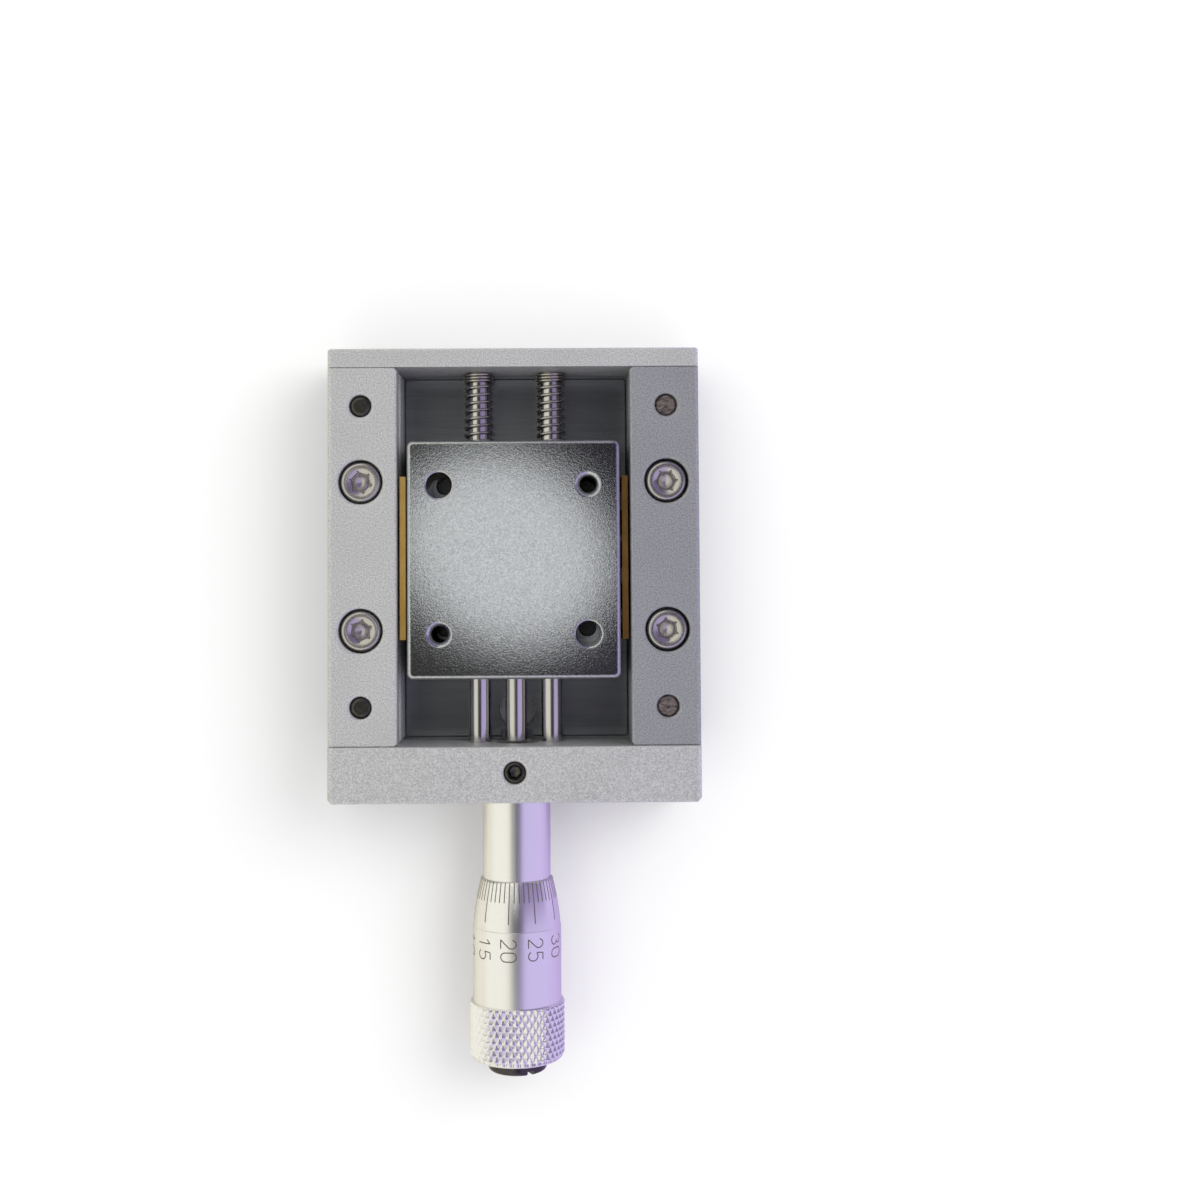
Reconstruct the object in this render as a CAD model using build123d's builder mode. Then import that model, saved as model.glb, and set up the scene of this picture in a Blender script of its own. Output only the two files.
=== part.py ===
from build123d import *
from math import cos, pi, sin, sqrt
import os

# Linear translation stage, 50 mm wide, on crossed roller ways, moved by a 13 mm micrometer head.
# All sizes are millimetres. The stage lies flat on its underside at Z 0.
# X runs across the rails, and Y along them, away from the micrometer.
# The origin is on the underside, midway between the rails and midway along them.

# Body
body_width = 50.0
rail_length = 51.0
rail_top = 15.0
rail_width = 9.3
shoulder_height = 3.9
land_rise = 0.6
land_side_gap = 0.05
land_end_gap = 0.3
land_corner = 0.6
rear_plate_thickness = 2.5
front_block_thickness = 7.5
front_block_rise = 0.3
front_corner_chamfer = 0.6
edge_break = 0.2
outer_chamfer = 0.45
end_corner_chamfer = 0.4

# Carriage
carriage_length = 32.0
carriage_floor_gap = 0.5
carriage_proud = 0.5
carriage_corner = 0.9
carriage_chamfer = 0.35
carriage_rest = -0.5
hole_side_inset = 4.3
hole_end_inset = 6.0
clear_hole = 3.4
clear_hole_break = 0.15

# Crossed roller ways
way_gap = 1.4
roller_diameter = 3.0
roller_length = 2.8
roller_chamfer = 0.15
roller_fit = 0.02
roller_count = 4
roller_pitch = 5.0
way_depth = 4.25
relief_width = 0.5
relief_depth = 0.25
groove_overrun = 1.0
cage_end_margin = 3.5
cage_thickness = 0.8
cage_height = 6.4
window_fit = 0.05
window_height = 4.1
window_corner = 0.3

# Screws and pins
m3 = 3.0
m3_core = 2.5
m3_mouth = 3.3
m3_head = 5.5
m3_head_height = 3.0
m3_key = 2.5
m3_key_depth = 1.5
counterbore_fit = 0.25
counterbore_break = 0.25
rail_screw_recess = 0.4
rail_screw_spacing = 20.0
rail_screw_grip = 2.3
front_screw_recess = 0.1
front_screw_grip = 3.6
m25 = 2.5
m25_head = 4.6
m25_key = 1.5
m25_key_depth = 1.0
rear_screw_grip = 3.5
rear_screw_margin = 2.75
screw_inset = 4.4
pin_diameter = 3.0
pin_recess = 0.4
pin_floor = 0.6
pin_dome = 0.6
pin_chamfer = 0.3
pin_end_inset = 5.25
pin_hole_break = 0.22
thread_fit = 0.02
pin_fit = 0.01

# Guide rods and springs
axis_rise = 3.25
rod_diameter = 3.0
rod_spacing = 10.0
rod_seat = 4.0
rod_chamfer = 0.2
rod_running_fit = 0.15
spring_rod_fit = 0.2
spring_wire = 0.4
spring_pitch = 1.07
spring_closed_pitch = 0.41
spring_rear_turns = 2.5
spring_front_turns = 1.5
spring_pocket_fit = 0.15
spring_pocket_depth = 5.0
spring_end_gap = 0.02
spring_stations = 8

# Micrometer head, its lengths measured along its axis
stem_diameter = 6.35
stem_fit = 0.01
nose_setback = 0.9
barrel_diameter = 8.0
barrel_length = 23.2
barrel_slit = 0.4
barrel_slits = 3
sleeve_wall = 0.65
sleeve_fit = 0.01
sleeve_end_gap = 0.4
spindle_diameter = 3.0
spindle_fit = 0.03
spindle_tip_break = 0.3
guide_bore_length = 9.8
screw_diameter = 5.0
screw_length = 20.1
screw_relief = 0.2
nut_length = 6.2
nut_thread_fit = 0.03
adjuster_length = 3.6
adjuster_setback = 0.2
adjuster_thread = 7.2
adjuster_diameter = 9.0
adjuster_notch = 1.0
thimble_start = 11.0
thimble_lip_wall = 0.18
thimble_bore_fit = 0.05
thimble_diameter = 12.08
thimble_nose_length = 6.5
thimble_nose_bulge = 0.15
thimble_plain_length = 10.2
knurl_length = 7.7
knurl_diameter = 13.0
knurl_chamfer = 0.6
hub_length = 4.4
hub_bore = 4.2
hub_fit = 0.01
hub_gap = 0.5
cap_diameter = 8.0
cap_length = 1.7
cap_fillet = 0.5
cap_shank = 2.5
cap_slot_width = 0.9
cap_slot_depth = 0.6
cap_slot_angle = 62.0
anvil_diameter = 4.0
anvil_length = 3.0
anvil_fit = 0.01
tip_gap = 0.02

# Clamp screw for the micrometer stem, in the top of the front block
clamp_setback = 3.5
clamp_screw_length = 3.0
clamp_screw_recess = 0.5
clamp_key = 1.5
clamp_key_depth = 1.3
clamp_mouth = 3.5
pad_diameter = 2.9

# Holes in the base
floor_hole_diameter = 5.2
floor_hole_inset = 3.9
notch_width = 4.4
notch_length = 1.0
notch_depth = 2.0

# Worked out from the sizes above: the body
half_length = rail_length / 2
half_width = body_width / 2
rail_inner = half_width - rail_width
rail_height = rail_top - shoulder_height
floor_top = shoulder_height + land_rise
front_block_height = rail_top + front_block_rise
rear_face = half_length + rear_plate_thickness
front_face = -half_length - front_block_thickness
screw_x = half_width - screw_inset
pin_spacing = rail_length - 2 * pin_end_inset
pin_length = rail_top - pin_recess - pin_floor
counterbore_diameter = m3_head + 2 * counterbore_fit
head_seat = rail_top - rail_screw_recess - m3_head_height
rail_screw_length = head_seat - shoulder_height + rail_screw_grip
front_head_seat = front_face + front_screw_recess + m3_head_height
front_screw_height = (shoulder_height + rail_top) / 2
front_screw_length = front_screw_grip - half_length - front_head_seat
rear_screw_length = rear_plate_thickness + rear_screw_grip
rear_screw_heights = (shoulder_height + rear_screw_margin, rail_top - rear_screw_margin)
rear_head_depth = (m25_head - m25) / 2

# The carriage and its ways
carriage_half = rail_inner - way_gap
carriage_width = 2 * carriage_half
carriage_bottom = floor_top + carriage_floor_gap
carriage_top = rail_top + carriage_proud
carriage_front = carriage_rest - carriage_length / 2
carriage_rear = carriage_rest + carriage_length / 2
hole_reach_x = carriage_half - hole_side_inset
hole_reach_y = carriage_length / 2 - hole_end_inset
cage_rest = carriage_rest / 2
cage_length = (roller_count - 1) * roller_pitch + 2 * cage_end_margin
cage_x = (rail_inner + carriage_half) / 2
way_height = rail_top - way_depth
groove_depth = (roller_diameter / 2 + roller_fit) * sqrt(2) - way_gap / 2

# The guide rods and springs
axis_height = floor_top + axis_rise
spring_radius = (rod_diameter + spring_wire) / 2 + spring_rod_fit
spring_pocket_radius = spring_radius + spring_wire / 2 + spring_pocket_fit

# The micrometer head, as distances from the front face of the front block
sleeve_diameter = barrel_diameter + 2 * sleeve_wall
nose_start = nose_setback - front_block_thickness
guide_bore_end = nose_start + guide_bore_length
nut_start = barrel_length - nut_length
adjuster_start = barrel_length - adjuster_setback - adjuster_length
sleeve_length = adjuster_start - sleeve_end_gap
thimble_bore = sleeve_diameter + 2 * thimble_bore_fit
thimble_lip_diameter = thimble_bore + 2 * thimble_lip_wall
nose_end = thimble_start + thimble_nose_length
knurl_start = nose_end + thimble_plain_length
knurl_end = knurl_start + knurl_length
hub_start = knurl_end - hub_length
screw_end = hub_start - hub_gap
screw_start = screw_end - screw_length
tip = front_face - carriage_front + tip_gap
clamp_y = -half_length - clamp_setback
clamp_top = front_block_height - clamp_screw_recess
clamp_bottom = clamp_top - clamp_screw_length

screw_axis = Axis((0, front_face, axis_height), (0, -1, 0))
head_plane = Plane(origin=(0, front_face, axis_height), x_dir=(0, -1, 0), z_dir=(-1, 0, 0))

os.makedirs("parts", exist_ok=True)


def save(built, label):
    """Label a finished piece and write it as a STEP file of that name."""
    built.part.label = label
    export_step(built.part, f"parts/{label}.step")


def turned(outline):
    """A solid of revolution on the micrometer axis, from (distance, radius) points."""
    with BuildPart() as piece:
        with BuildSketch(head_plane):
            with BuildLine():
                Polyline(*outline, close=True)
            make_face()
        revolve(axis=screw_axis)
    return piece.part


def groove(wall_x, inward, length, centre_y):
    """A 90 degree groove with a relief slot, cut inward along X from a wall at wall_x."""
    step = relief_width / 2
    mouth_x = wall_x - inward * groove_depth
    flank_x = wall_x + inward * (groove_depth - step)
    slot_x = wall_x + inward * (groove_depth + relief_depth)
    with BuildPart() as cut:
        with BuildSketch(Plane.XZ.offset(-centre_y)):
            with BuildLine():
                Polyline(
                    (mouth_x, way_height + 2 * groove_depth),
                    (flank_x, way_height + step),
                    (slot_x, way_height + step),
                    (slot_x, way_height - step),
                    (flank_x, way_height - step),
                    (mouth_x, way_height - 2 * groove_depth),
                    close=True,
                )
            make_face()
        extrude(amount=length / 2 + groove_overrun, both=True)
    return cut.part


# Base plate: a flat plate whose raised land stands between the rails
with BuildPart() as base_plate:
    with BuildSketch(Plane.XY):
        Rectangle(body_width, rail_length)
    extrude(amount=shoulder_height)
    chamfer(base_plate.edges().group_by(Axis.Z)[0], edge_break)
    with BuildSketch(Plane.XY.offset(shoulder_height)):
        RectangleRounded(
            2 * (rail_inner - land_side_gap),
            rail_length - 2 * land_end_gap,
            land_corner,
        )
    extrude(amount=land_rise)
    chamfer(base_plate.faces().sort_by(Axis.Z)[-1].edges(), edge_break)
    with BuildSketch(Plane.XY):
        with GridLocations(2 * screw_x, rail_screw_spacing, 2, 2):
            Circle(m3 / 2 + thread_fit)
        with GridLocations(2 * screw_x, pin_spacing, 2, 2):
            Circle(pin_diameter / 2 + pin_fit)
        with GridLocations(2 * hole_reach_x, 2 * hole_reach_y, 2, 2):
            Circle(m3_core / 2)
        with Locations((0, floor_hole_inset - half_length)):
            Circle(floor_hole_diameter / 2)
    extrude(amount=floor_top, mode=Mode.SUBTRACT)
    with BuildSketch(Plane.XY.offset(floor_top)):
        with Locations((0, land_end_gap - half_length)):
            Rectangle(notch_width, 2 * notch_length)
    extrude(amount=-notch_depth, mode=Mode.SUBTRACT)
    base_taps = base_plate.edges().filter_by(GeomType.CIRCLE).group_by(Axis.Z)[0]
    chamfer(
        base_taps.filter_by(lambda edge: abs(edge.radius - m3_core / 2) < 0.01),
        (m3_mouth - m3_core) / 2,
    )
save(base_plate, "base_plate")


# Side rails: each carries the outer groove of its way, two screws and two dowel pins
for label, side in (("left_rail", -1), ("right_rail", 1)):
    with BuildPart() as rail:
        with BuildSketch(Plane.XY.offset(shoulder_height)):
            with Locations((side * (rail_inner + rail_width / 2), 0)):
                Rectangle(rail_width, rail_length)
        extrude(amount=rail_height)
        uprights = rail.edges().filter_by(Axis.Z)
        inner_uprights = uprights.sort_by(lambda edge: abs(edge.center().X))[:2]
        chamfer(inner_uprights, end_corner_chamfer)
        crown = rail.faces().sort_by(Axis.Z)[-1].edges()
        chamfer(crown.sort_by(lambda edge: abs(edge.center().X))[-1], outer_chamfer)
        crown = rail.faces().sort_by(Axis.Z)[-1].edges()
        chamfer(crown.sort_by(lambda edge: abs(edge.center().X))[:-1], edge_break)
        add(groove(side * rail_inner, side, rail_length, 0), mode=Mode.SUBTRACT)
        with BuildSketch(Plane.XY.offset(rail_top)):
            with Locations((side * screw_x, 0)):
                with GridLocations(0, rail_screw_spacing, 1, 2):
                    Circle(m3 / 2 + thread_fit)
        extrude(amount=-rail_height, mode=Mode.SUBTRACT)
        with BuildSketch(Plane.XY.offset(rail_top)):
            with Locations((side * screw_x, 0)):
                with GridLocations(0, rail_screw_spacing, 1, 2):
                    Circle(counterbore_diameter / 2)
        extrude(amount=head_seat - rail_top, mode=Mode.SUBTRACT)
        with BuildSketch(Plane.XY.offset(rail_top)):
            with Locations((side * screw_x, 0)):
                with GridLocations(0, pin_spacing, 1, 2):
                    Circle(pin_diameter / 2 + pin_fit)
        extrude(amount=-rail_height, mode=Mode.SUBTRACT)
        mouths = rail.faces().sort_by(Axis.Z)[-1].edges().filter_by(GeomType.CIRCLE)
        chamfer(mouths.filter_by(lambda edge: edge.radius > m3_head / 2), counterbore_break)
        mouths = rail.faces().sort_by(Axis.Z)[-1].edges().filter_by(GeomType.CIRCLE)
        chamfer(mouths.filter_by(lambda edge: edge.radius < m3_head / 2), pin_hole_break)
        with BuildSketch(Plane.XZ.offset(-half_length)):
            with Locations(*[(side * screw_x, height) for height in rear_screw_heights]):
                Circle(m25 / 2 + thread_fit)
        extrude(amount=rear_screw_grip + thread_fit, mode=Mode.SUBTRACT)
        with BuildSketch(Plane.XZ.offset(half_length)):
            with Locations((side * screw_x, front_screw_height)):
                Circle(m3 / 2 + thread_fit)
        extrude(amount=-front_screw_grip - thread_fit, mode=Mode.SUBTRACT)
    save(rail, label)


# Rear plate: closes the rails and holds the rear ends of the guide rods
with BuildPart() as rear_plate:
    with BuildSketch(Plane.XZ.offset(-half_length)):
        with Locations((0, rail_top / 2)):
            Rectangle(body_width, rail_top)
    extrude(amount=-rear_plate_thickness)
    chamfer(rear_plate.edges().filter_by(Axis.Y).group_by(Axis.Z)[-1], outer_chamfer)
    chamfer(rear_plate.faces().sort_by(Axis.Y)[-1].edges(), edge_break)
    with BuildSketch(Plane.XZ.offset(-half_length)):
        with Locations((0, axis_height)):
            with GridLocations(rod_spacing, 0, 2, 1):
                Circle(rod_diameter / 2 + pin_fit)
        for height in rear_screw_heights:
            with Locations((0, height)):
                with GridLocations(2 * screw_x, 0, 2, 1):
                    Circle(m25 / 2 + thread_fit)
    extrude(amount=-rear_plate_thickness, mode=Mode.SUBTRACT)
    screw_mouths = rear_plate.faces().sort_by(Axis.Y)[-1].edges().filter_by(GeomType.CIRCLE)
    chamfer(
        screw_mouths.filter_by(lambda edge: edge.radius < rod_diameter / 2),
        rear_head_depth,
    )
save(rear_plate, "rear_plate")


# Front block: carries the micrometer stem, its clamp screw and the front ends of the rods
with BuildPart() as front_block:
    with BuildSketch(Plane.XZ.offset(half_length)):
        with Locations((0, front_block_height / 2)):
            Rectangle(body_width, front_block_height)
    extrude(amount=front_block_thickness)
    chamfer(front_block.edges().filter_by(Axis.Y).group_by(Axis.Z)[-1], outer_chamfer)
    chamfer(front_block.edges().filter_by(Axis.Z).group_by(Axis.Y)[0], front_corner_chamfer)
    chamfer(front_block.faces().sort_by(Axis.Z)[-1].edges().filter_by(Axis.X), edge_break)
    with BuildSketch(Plane.XZ.offset(half_length)):
        with Locations((0, axis_height)):
            Circle(stem_diameter / 2 + stem_fit)
        with Locations((0, front_screw_height)):
            with GridLocations(2 * screw_x, 0, 2, 1):
                Circle(m3 / 2 + thread_fit)
    extrude(amount=front_block_thickness, mode=Mode.SUBTRACT)
    with BuildSketch(Plane.XZ.offset(half_length)):
        with Locations((0, axis_height)):
            with GridLocations(rod_spacing, 0, 2, 1):
                Circle(rod_diameter / 2 + pin_fit)
    extrude(amount=rod_seat, mode=Mode.SUBTRACT)
    with BuildSketch(Plane.XZ.offset(-front_face)):
        with Locations((0, front_screw_height)):
            with GridLocations(2 * screw_x, 0, 2, 1):
                Circle(counterbore_diameter / 2)
    extrude(amount=front_face - front_head_seat, mode=Mode.SUBTRACT)
    with BuildSketch(Plane.XY.offset(front_block_height)):
        with Locations((0, clamp_y)):
            Circle(m3 / 2 + thread_fit)
    extrude(amount=axis_height - front_block_height, mode=Mode.SUBTRACT)
    clamp_edge = front_block.faces().sort_by(Axis.Z)[-1].edges().filter_by(GeomType.CIRCLE)
    chamfer(clamp_edge, (clamp_mouth - m3) / 2 - thread_fit)
save(front_block, "front_block")


# Carriage: rides between the rails on the inner grooves of the two ways
with BuildPart() as carriage:
    with BuildSketch(Plane.XY.offset(carriage_bottom)):
        with Locations((0, carriage_rest)):
            RectangleRounded(carriage_width, carriage_length, carriage_corner)
    extrude(amount=carriage_top - carriage_bottom)
    chamfer(carriage.faces().sort_by(Axis.Z)[-1].edges(), carriage_chamfer)
    for side in (-1, 1):
        add(
            groove(side * carriage_half, -side, carriage_length, carriage_rest),
            mode=Mode.SUBTRACT,
        )
    with BuildSketch(Plane.XZ.offset(-carriage_rear)):
        with Locations((0, axis_height)):
            with GridLocations(rod_spacing, 0, 2, 1):
                Circle(rod_diameter / 2 + rod_running_fit)
    extrude(amount=carriage_length, mode=Mode.SUBTRACT)
    with BuildSketch(Plane.XZ.offset(-carriage_rear)):
        with Locations((0, axis_height)):
            with GridLocations(rod_spacing, 0, 2, 1):
                Circle(spring_pocket_radius)
    extrude(amount=spring_pocket_depth, mode=Mode.SUBTRACT)
    with BuildSketch(Plane.XZ.offset(-carriage_front)):
        with Locations((0, axis_height)):
            Circle(anvil_diameter / 2 + anvil_fit)
    extrude(amount=-anvil_length, mode=Mode.SUBTRACT)
    rear_row = carriage_rest + hole_reach_y
    front_row = carriage_rest - hole_reach_y
    with BuildSketch(Plane.XY.offset(carriage_top)):
        with Locations((-hole_reach_x, rear_row), (hole_reach_x, front_row)):
            Circle(clear_hole / 2)
        with Locations((hole_reach_x, rear_row), (-hole_reach_x, front_row)):
            Circle(m3_core / 2)
    extrude(amount=carriage_bottom - carriage_top, mode=Mode.SUBTRACT)
    mouths = carriage.faces().sort_by(Axis.Z)[-1].edges().filter_by(GeomType.CIRCLE)
    chamfer(
        mouths.filter_by(lambda edge: abs(edge.radius - clear_hole / 2) < 0.01),
        clear_hole_break,
    )
    mouths = carriage.faces().sort_by(Axis.Z)[-1].edges().filter_by(GeomType.CIRCLE)
    chamfer(
        mouths.filter_by(lambda edge: abs(edge.radius - m3_core / 2) < 0.01),
        (m3_mouth - m3_core) / 2,
    )
save(carriage, "carriage")


# Hardened button in the carriage, which the spindle tip pushes
with BuildPart() as spindle_anvil:
    with BuildSketch(Plane.XZ.offset(-carriage_front)):
        with Locations((0, axis_height)):
            Circle(anvil_diameter / 2)
    extrude(amount=-anvil_length)
    chamfer(spindle_anvil.edges().sort_by(Axis.Y)[0], edge_break)
save(spindle_anvil, "spindle_anvil")


# Roller cages: brass strips with one window for each roller
for label, side in (("left_cage", -1), ("right_cage", 1)):
    with BuildPart() as cage:
        with BuildSketch(Plane.YZ.offset(side * cage_x)):
            with Locations((cage_rest, way_height)):
                Rectangle(cage_length, cage_height)
                with GridLocations(roller_pitch, 0, roller_count, 1):
                    RectangleRounded(
                        roller_diameter + 2 * window_fit,
                        window_height,
                        window_corner,
                        mode=Mode.SUBTRACT,
                    )
        extrude(amount=cage_thickness / 2, both=True)
    save(cage, label)


# Rollers: neighbours lie crosswise, so that they carry load from above and from below
for name, side in (("left", -1), ("right", 1)):
    for index in range(roller_count):
        place_y = cage_rest + (index - (roller_count - 1) / 2) * roller_pitch
        lean = 1 if index % 2 == 0 else -1
        roller_plane = Plane(
            origin=(side * cage_x, place_y, way_height),
            x_dir=(0, 1, 0),
            z_dir=(1, 0, lean),
        )
        with BuildPart() as roller:
            with BuildSketch(roller_plane):
                Circle(roller_diameter / 2)
            extrude(amount=roller_length / 2, both=True)
            chamfer(roller.edges().filter_by(GeomType.CIRCLE), roller_chamfer)
        save(roller, f"{name}_roller_{index + 1}")


# Guide rods: from the front block, through the carriage, to the rear plate
for label, side in (("left_guide_rod", -1), ("right_guide_rod", 1)):
    with BuildPart() as rod:
        with BuildSketch(Plane.XZ.offset(half_length + rod_seat)):
            with Locations((side * rod_spacing / 2, axis_height)):
                Circle(rod_diameter / 2)
        extrude(amount=-(rail_length + rod_seat + rear_plate_thickness))
        chamfer(rod.edges().filter_by(GeomType.CIRCLE), rod_chamfer)
    save(rod, label)


# Return springs: round wire coils over the rods, with closed coils at both ends
spring_from = half_length - spring_end_gap - spring_wire / 2
spring_to = carriage_rear - spring_pocket_depth + spring_end_gap + spring_wire / 2
closed_turns = spring_rear_turns + spring_front_turns
active_rise = spring_from - spring_to - closed_turns * spring_closed_pitch
active_turns = active_rise / spring_pitch
for label, side in (("left_spring", -1), ("right_spring", 1)):
    stations = []
    for step in range(int((closed_turns + active_turns) * spring_stations) + 1):
        turn = step / spring_stations
        rear = min(turn, spring_rear_turns)
        middle = min(max(turn - spring_rear_turns, 0), active_turns)
        front = max(turn - spring_rear_turns - active_turns, 0)
        along = (rear + front) * spring_closed_pitch + middle * spring_pitch
        stations.append(
            (
                side * rod_spacing / 2 + spring_radius * cos(2 * pi * turn),
                spring_from - along,
                axis_height + spring_radius * sin(2 * pi * turn),
            )
        )
    with BuildPart() as spring:
        with BuildLine() as coil:
            Spline(*stations)
        with BuildSketch(Plane(origin=coil.line @ 0, z_dir=coil.line % 0)):
            Circle(spring_wire / 2)
        sweep(path=coil.line, is_frenet=True)
    save(spring, label)


# Screws through the rails into the base plate
with BuildPart() as rail_screws:
    with BuildSketch(Plane.XY.offset(head_seat)):
        with GridLocations(2 * screw_x, rail_screw_spacing, 2, 2):
            Circle(m3_head / 2)
    extrude(amount=m3_head_height)
    with BuildSketch(Plane.XY.offset(head_seat)):
        with GridLocations(2 * screw_x, rail_screw_spacing, 2, 2):
            Circle(m3 / 2)
    extrude(amount=-rail_screw_length)
    chamfer(rail_screws.edges().filter_by(GeomType.CIRCLE).group_by(Axis.Z)[-1], edge_break)
    chamfer(rail_screws.edges().filter_by(GeomType.CIRCLE).group_by(Axis.Z)[0], edge_break)
    with BuildSketch(Plane.XY.offset(head_seat + m3_head_height)):
        with GridLocations(2 * screw_x, rail_screw_spacing, 2, 2):
            RegularPolygon(m3_key / 2, 6, major_radius=False)
    extrude(amount=-m3_key_depth, mode=Mode.SUBTRACT)
save(rail_screws, "rail_screws")


# Screws through the front block into the rail ends
with BuildPart() as front_block_screws:
    with BuildSketch(Plane.XZ.offset(-front_head_seat)):
        with Locations((0, front_screw_height)):
            with GridLocations(2 * screw_x, 0, 2, 1):
                Circle(m3_head / 2)
    extrude(amount=m3_head_height)
    with BuildSketch(Plane.XZ.offset(-front_head_seat)):
        with Locations((0, front_screw_height)):
            with GridLocations(2 * screw_x, 0, 2, 1):
                Circle(m3 / 2)
    extrude(amount=-front_screw_length)
    chamfer(front_block_screws.edges().filter_by(GeomType.CIRCLE).group_by(Axis.Y)[0], edge_break)
    chamfer(front_block_screws.edges().filter_by(GeomType.CIRCLE).group_by(Axis.Y)[-1], edge_break)
    with BuildSketch(Plane.XZ.offset(-front_head_seat + m3_head_height)):
        with Locations((0, front_screw_height)):
            with GridLocations(2 * screw_x, 0, 2, 1):
                RegularPolygon(m3_key / 2, 6, major_radius=False)
    extrude(amount=-m3_key_depth, mode=Mode.SUBTRACT)
save(front_block_screws, "front_block_screws")


# Countersunk screws through the rear plate into the rail ends
with BuildPart() as rear_plate_screws:
    for height in rear_screw_heights:
        with BuildSketch(Plane.XZ.offset(-rear_face)):
            with Locations((0, height)):
                with GridLocations(2 * screw_x, 0, 2, 1):
                    Circle(m25 / 2)
        extrude(amount=rear_screw_length)
        with BuildSketch(Plane.XZ.offset(-rear_face)):
            with Locations((0, height)):
                with GridLocations(2 * screw_x, 0, 2, 1):
                    Circle(m25_head / 2)
        extrude(amount=rear_head_depth, taper=45)
        with BuildSketch(Plane.XZ.offset(-rear_face)):
            with Locations((0, height)):
                with GridLocations(2 * screw_x, 0, 2, 1):
                    RegularPolygon(m25_key / 2, 6, major_radius=False)
        extrude(amount=m25_key_depth, mode=Mode.SUBTRACT)
save(rear_plate_screws, "rear_plate_screws")


# Dowel pins that set the rails on the base plate: domed on the left, flat ended on the right
for label, side in (("left_dowel_pins", -1), ("right_dowel_pins", 1)):
    with BuildPart() as pins:
        with BuildSketch(Plane.XY.offset(pin_floor)):
            with Locations((side * screw_x, 0)):
                with GridLocations(0, pin_spacing, 1, 2):
                    Circle(pin_diameter / 2)
        extrude(amount=pin_length)
        tops = pins.edges().filter_by(GeomType.CIRCLE).group_by(Axis.Z)[-1]
        if side < 0:
            fillet(tops, pin_dome)
        else:
            chamfer(tops, pin_chamfer)
    save(pins, label)


# Micrometer barrel: the stem in the block, the guide bore and the nut thread at its end
barrel_outline = (
    (nose_start, spindle_diameter / 2 + spindle_fit),
    (nose_start, stem_diameter / 2),
    (0, stem_diameter / 2),
    (0, barrel_diameter / 2),
    (adjuster_start, barrel_diameter / 2),
    (adjuster_start, adjuster_thread / 2),
    (barrel_length, adjuster_thread / 2),
    (barrel_length, screw_diameter / 2 + nut_thread_fit),
    (nut_start, screw_diameter / 2 + nut_thread_fit),
    (nut_start, screw_diameter / 2 + screw_relief),
    (guide_bore_end, screw_diameter / 2 + screw_relief),
    (guide_bore_end, spindle_diameter / 2 + spindle_fit),
)
with BuildPart() as micrometer_barrel:
    add(turned(barrel_outline))
    with BuildSketch(Plane.XZ.offset(barrel_length - front_face)):
        with Locations((0, axis_height)):
            with PolarLocations(barrel_diameter / 2, barrel_slits):
                Rectangle(barrel_diameter, barrel_slit)
    extrude(amount=-nut_length, mode=Mode.SUBTRACT)
save(micrometer_barrel, "micrometer_barrel")


# Graduated sleeve pressed over the barrel
sleeve_outline = (
    (0, barrel_diameter / 2 + sleeve_fit),
    (0, sleeve_diameter / 2),
    (sleeve_length, sleeve_diameter / 2),
    (sleeve_length, barrel_diameter / 2 + sleeve_fit),
)
with BuildPart() as graduated_sleeve:
    add(turned(sleeve_outline))
save(graduated_sleeve, "graduated_sleeve")


# Ring nut that closes the slit end of the barrel and takes up play in the thread
adjuster_outline = (
    (adjuster_start, adjuster_thread / 2 + thread_fit),
    (adjuster_start, adjuster_diameter / 2),
    (adjuster_start + adjuster_length, adjuster_diameter / 2),
    (adjuster_start + adjuster_length, adjuster_thread / 2 + thread_fit),
)
with BuildPart() as adjusting_nut:
    add(turned(adjuster_outline))
    with BuildSketch(Plane.XZ.offset(adjuster_start + adjuster_length - front_face)):
        with Locations((0, axis_height)):
            Rectangle(2 * adjuster_diameter, adjuster_notch)
    extrude(amount=-adjuster_notch, mode=Mode.SUBTRACT)
save(adjusting_nut, "adjusting_nut")


# Spindle: tip, guided shank, measuring screw and the seat for the thimble
spindle_outline = (
    (tip, 0),
    (tip, spindle_diameter / 2 - spindle_tip_break),
    (tip + spindle_tip_break, spindle_diameter / 2),
    (screw_start, spindle_diameter / 2),
    (screw_start, screw_diameter / 2),
    (screw_end, screw_diameter / 2),
    (screw_end, hub_bore / 2),
    (knurl_end - hub_fit, hub_bore / 2),
    (knurl_end - hub_fit, cap_shank / 2),
    (hub_start, cap_shank / 2),
    (hub_start, 0),
)
with BuildPart() as spindle:
    add(turned(spindle_outline))
save(spindle, "spindle")


# Thimble: a tapered nose over the sleeve, a plain barrel for the scale and a knurled grip
with BuildPart() as thimble:
    with BuildSketch(head_plane):
        with BuildLine():
            lip = (thimble_start, thimble_lip_diameter / 2)
            shoulder = (nose_end, thimble_diameter / 2)
            bulge = (
                (lip[0] + shoulder[0]) / 2,
                (lip[1] + shoulder[1]) / 2 + thimble_nose_bulge,
            )
            ThreePointArc(lip, bulge, shoulder)
            Polyline(
                shoulder,
                (knurl_start, thimble_diameter / 2),
                (knurl_start, knurl_diameter / 2),
                (knurl_end - knurl_chamfer, knurl_diameter / 2),
                (knurl_end, knurl_diameter / 2 - knurl_chamfer),
                (knurl_end, hub_bore / 2 + hub_fit),
                (hub_start, hub_bore / 2 + hub_fit),
                (hub_start, thimble_bore / 2),
                (thimble_start, thimble_bore / 2),
                lip,
            )
        make_face()
    revolve(axis=screw_axis)
save(thimble, "thimble")


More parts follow.
